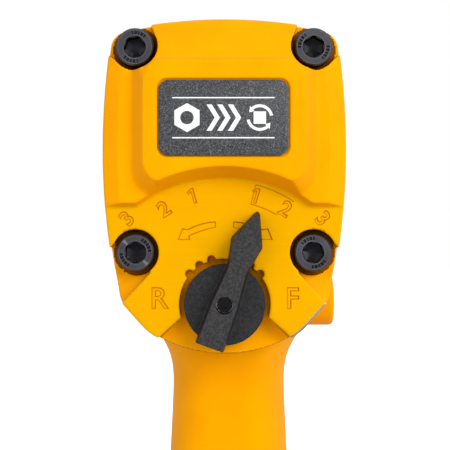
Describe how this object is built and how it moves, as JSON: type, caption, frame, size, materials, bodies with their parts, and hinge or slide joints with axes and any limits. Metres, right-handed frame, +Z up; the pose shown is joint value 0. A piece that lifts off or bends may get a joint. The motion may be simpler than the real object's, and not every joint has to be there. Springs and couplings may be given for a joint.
{
  "type": "impact wrench",
  "caption": "Air impact wrench with a pistol grip, a square drive, a vane motor, a twin-hammer mechanism and a rotary power and direction selector.",
  "frame": {"origin": "centre of the square drive's front end face, on the motor axis", "axes": "+Y along the motor axis, out of the square drive; +Z up, away from the handle; +X to the right of someone who holds the tool"},
  "size_m": [0.0645, 0.1855, 0.1959],
  "materials": {
    "yellow_paint": "painted die casting",
    "label": "fine textured, dark grey",
    "black_steel": "black oxide",
    "gasket": "pressed fibre",
    "black_plastic": "grained",
    "steel": "ground",
    "bright_steel": "plated",
    "dark_steel": "hardened and oiled",
    "cast_iron": "machined",
    "case_alloy": "satin casting",
    "bronze": "sintered bronze",
    "brass": "turned",
    "rubber": "matt",
    "vane": "laminated",
    "muffler": "porous felt"
  },
  "bodies": {
    "housing": {"rear_cover": "yellow_paint", "motor_housing": "yellow_paint", "label_plate": "label", "rear_cover_screws": "black_steel", "rear_gasket": "gasket", "valve_sleeve": "steel", "valve_seal": "rubber", "side_port_plug": "black_steel", "front_end_plate": "cast_iron", "rear_end_plate": "cast_iron", "air_cylinder": "cast_iron", "cylinder_dowel": "steel", "hammer_case": "case_alloy", "anvil_bushing": "bronze", "anvil_seal": "rubber", "anvil_thrust_washer": "steel", "case_gasket": "rubber", "case_screws": "black_steel", "case_washers": "steel", "trigger_bush": "brass", "trigger_seal": "rubber", "throttle_seat": "brass", "throttle_spring": "steel", "inlet_bushing": "bright_steel", "inlet_strainer": "steel", "exhaust_deflector": "black_plastic", "exhaust_muffler": "muffler", "front_bearing_outer_ring": "steel", "rear_bearing_outer_ring": "steel"},
    "selector": {"selector_knob": "black_plastic", "selector_screw": "black_steel", "reverse_valve": "steel", "selector_detent_spring": "steel"},
    "detent": {"selector_detent_pin": "steel"},
    "rotor": {"rotor": "steel", "rotor_vanes": "vane", "front_bearing_inner_ring": "steel", "rear_bearing_inner_ring": "steel"},
    "front_balls": {"front_bearing_balls": "steel"},
    "rear_balls": {"rear_bearing_balls": "steel"},
    "cage": {"hammer_cage": "dark_steel", "hammer_pins": "steel"},
    "front_hammer": {"hammer_front": "dark_steel"},
    "rear_hammer": {"hammer_rear": "dark_steel"},
    "anvil": {"anvil": "dark_steel", "socket_retaining_ring": "steel", "retaining_o_ring": "rubber"},
    "trigger": {"trigger": "black_plastic", "trigger_pin": "steel"},
    "throttle": {"throttle_valve": "steel"}
  },
  "joints": [
    {"name": "selector_turn", "type": "hinge", "parent": "housing", "child": "selector", "pos_m": [0.0001, -0.175, -0.0406], "axis": [0, 1, 0], "range_deg": [-65.6, 32.8]},
    {"name": "detent_slide", "type": "slide", "parent": "selector", "child": "detent", "axis": [0.2823, 0, 0.9593], "range_m": [0, 0.00125], "stiffness_N_per_m": 500, "springref_m": 0.002},
    {"name": "rotor_spin", "type": "hinge", "parent": "housing", "child": "rotor", "pos_m": [0, -0.136, 0], "axis": [0, 1, 0], "continuous": true},
    {"name": "front_balls_spin", "type": "hinge", "parent": "housing", "child": "front_balls", "pos_m": [0, -0.111, 0], "axis": [0, 1, 0], "continuous": true},
    {"name": "rear_balls_spin", "type": "hinge", "parent": "housing", "child": "rear_balls", "pos_m": [0, -0.1625, 0], "axis": [0, 1, 0], "continuous": true},
    {"name": "cage_spin", "type": "hinge", "parent": "housing", "child": "cage", "pos_m": [0, -0.081, 0], "axis": [0, 1, 0], "continuous": true},
    {"name": "front_hammer_rock", "type": "hinge", "parent": "cage", "child": "front_hammer", "pos_m": [0, -0.072, 0.019], "axis": [0, 1, 0], "range_deg": [-4, 4]},
    {"name": "rear_hammer_rock", "type": "hinge", "parent": "cage", "child": "rear_hammer", "pos_m": [0, -0.087, -0.019], "axis": [0, 1, 0], "range_deg": [-4, 4]},
    {"name": "anvil_spin", "type": "hinge", "parent": "housing", "child": "anvil", "pos_m": [0, -0.04, 0], "axis": [0, 1, 0], "continuous": true},
    {"name": "trigger_pull", "type": "slide", "parent": "housing", "child": "trigger", "axis": [0, -1, 0], "range_m": [0, 0.006], "stiffness_N_per_m": 1500, "springref_m": -0.004},
    {"name": "throttle_tip", "type": "hinge", "parent": "housing", "child": "throttle", "pos_m": [0.0011, -0.124, -0.09105], "axis": [1, 0, 0], "range_deg": [0, 13.05], "deforming": ["throttle_spring"]}
  ],
  "couplings": [
    {"joint": "cage_spin", "follows": "rotor_spin", "ratio": 1},
    {"joint": "front_balls_spin", "follows": "rotor_spin", "ratio": 0.32},
    {"joint": "rear_balls_spin", "follows": "rotor_spin", "ratio": 0.3},
    {"joint": "throttle_tip", "follows": "trigger_pull", "rad_per_m": 37.816}
  ]
}
